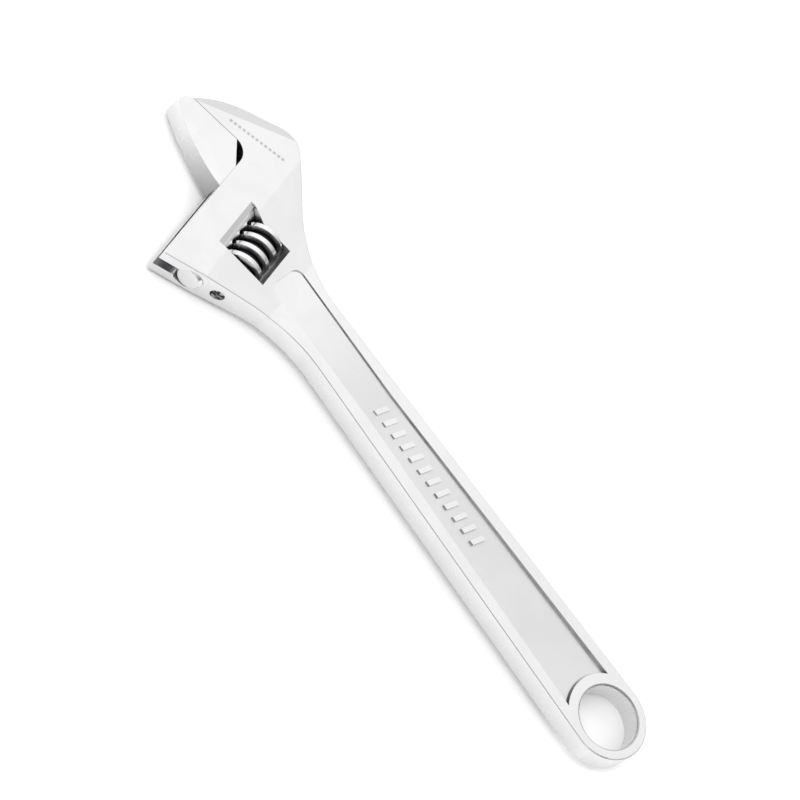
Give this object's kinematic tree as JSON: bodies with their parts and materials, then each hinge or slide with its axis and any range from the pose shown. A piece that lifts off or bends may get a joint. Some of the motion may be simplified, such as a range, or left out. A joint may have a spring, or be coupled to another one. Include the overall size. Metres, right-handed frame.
{
  "type": "adjustable wrench",
  "caption": "Chrome adjustable wrench with an angled head, sliding jaw on a round toothed rail, thumb worm, recessed handle and a round hanging hole.",
  "frame": {"origin": "centre of the hanging hole, on the mid-plane of the forging", "axes": "+X along the handle to the head; +Y to the side the jaw opens to; +Z out of the flat face, along the hanging hole"},
  "size_m": [0.3051, 0.0836, 0.018],
  "materials": {
    "forging_chrome": "bright plated forging",
    "jaw_chrome": "bright plated forging",
    "worm_chrome": "plated, turned",
    "pin_steel": "turned",
    "spring_steel": "drawn wire"
  },
  "bodies": {
    "frame": {"wrench_body": "forging_chrome", "worm_pin": "pin_steel", "worm_spring": "spring_steel"},
    "jaw": {"movable_jaw": "jaw_chrome"},
    "worm": {"adjusting_worm": "worm_chrome"}
  },
  "joints": [
    {"name": "jaw_slide", "type": "slide", "parent": "frame", "child": "jaw", "axis": [-0.225, 0.9744, 0], "range_m": [0, 0.034]},
    {"name": "worm_spin", "type": "hinge", "parent": "frame", "child": "worm", "pos_m": [0.22341, 0.00322, 0], "axis": [-0.225, 0.9744, 0], "range_deg": [-2187, 0]}
  ],
  "couplings": [
    {"joint": "worm_spin", "follows": "jaw_slide", "rad_per_m": -1122}
  ]
}
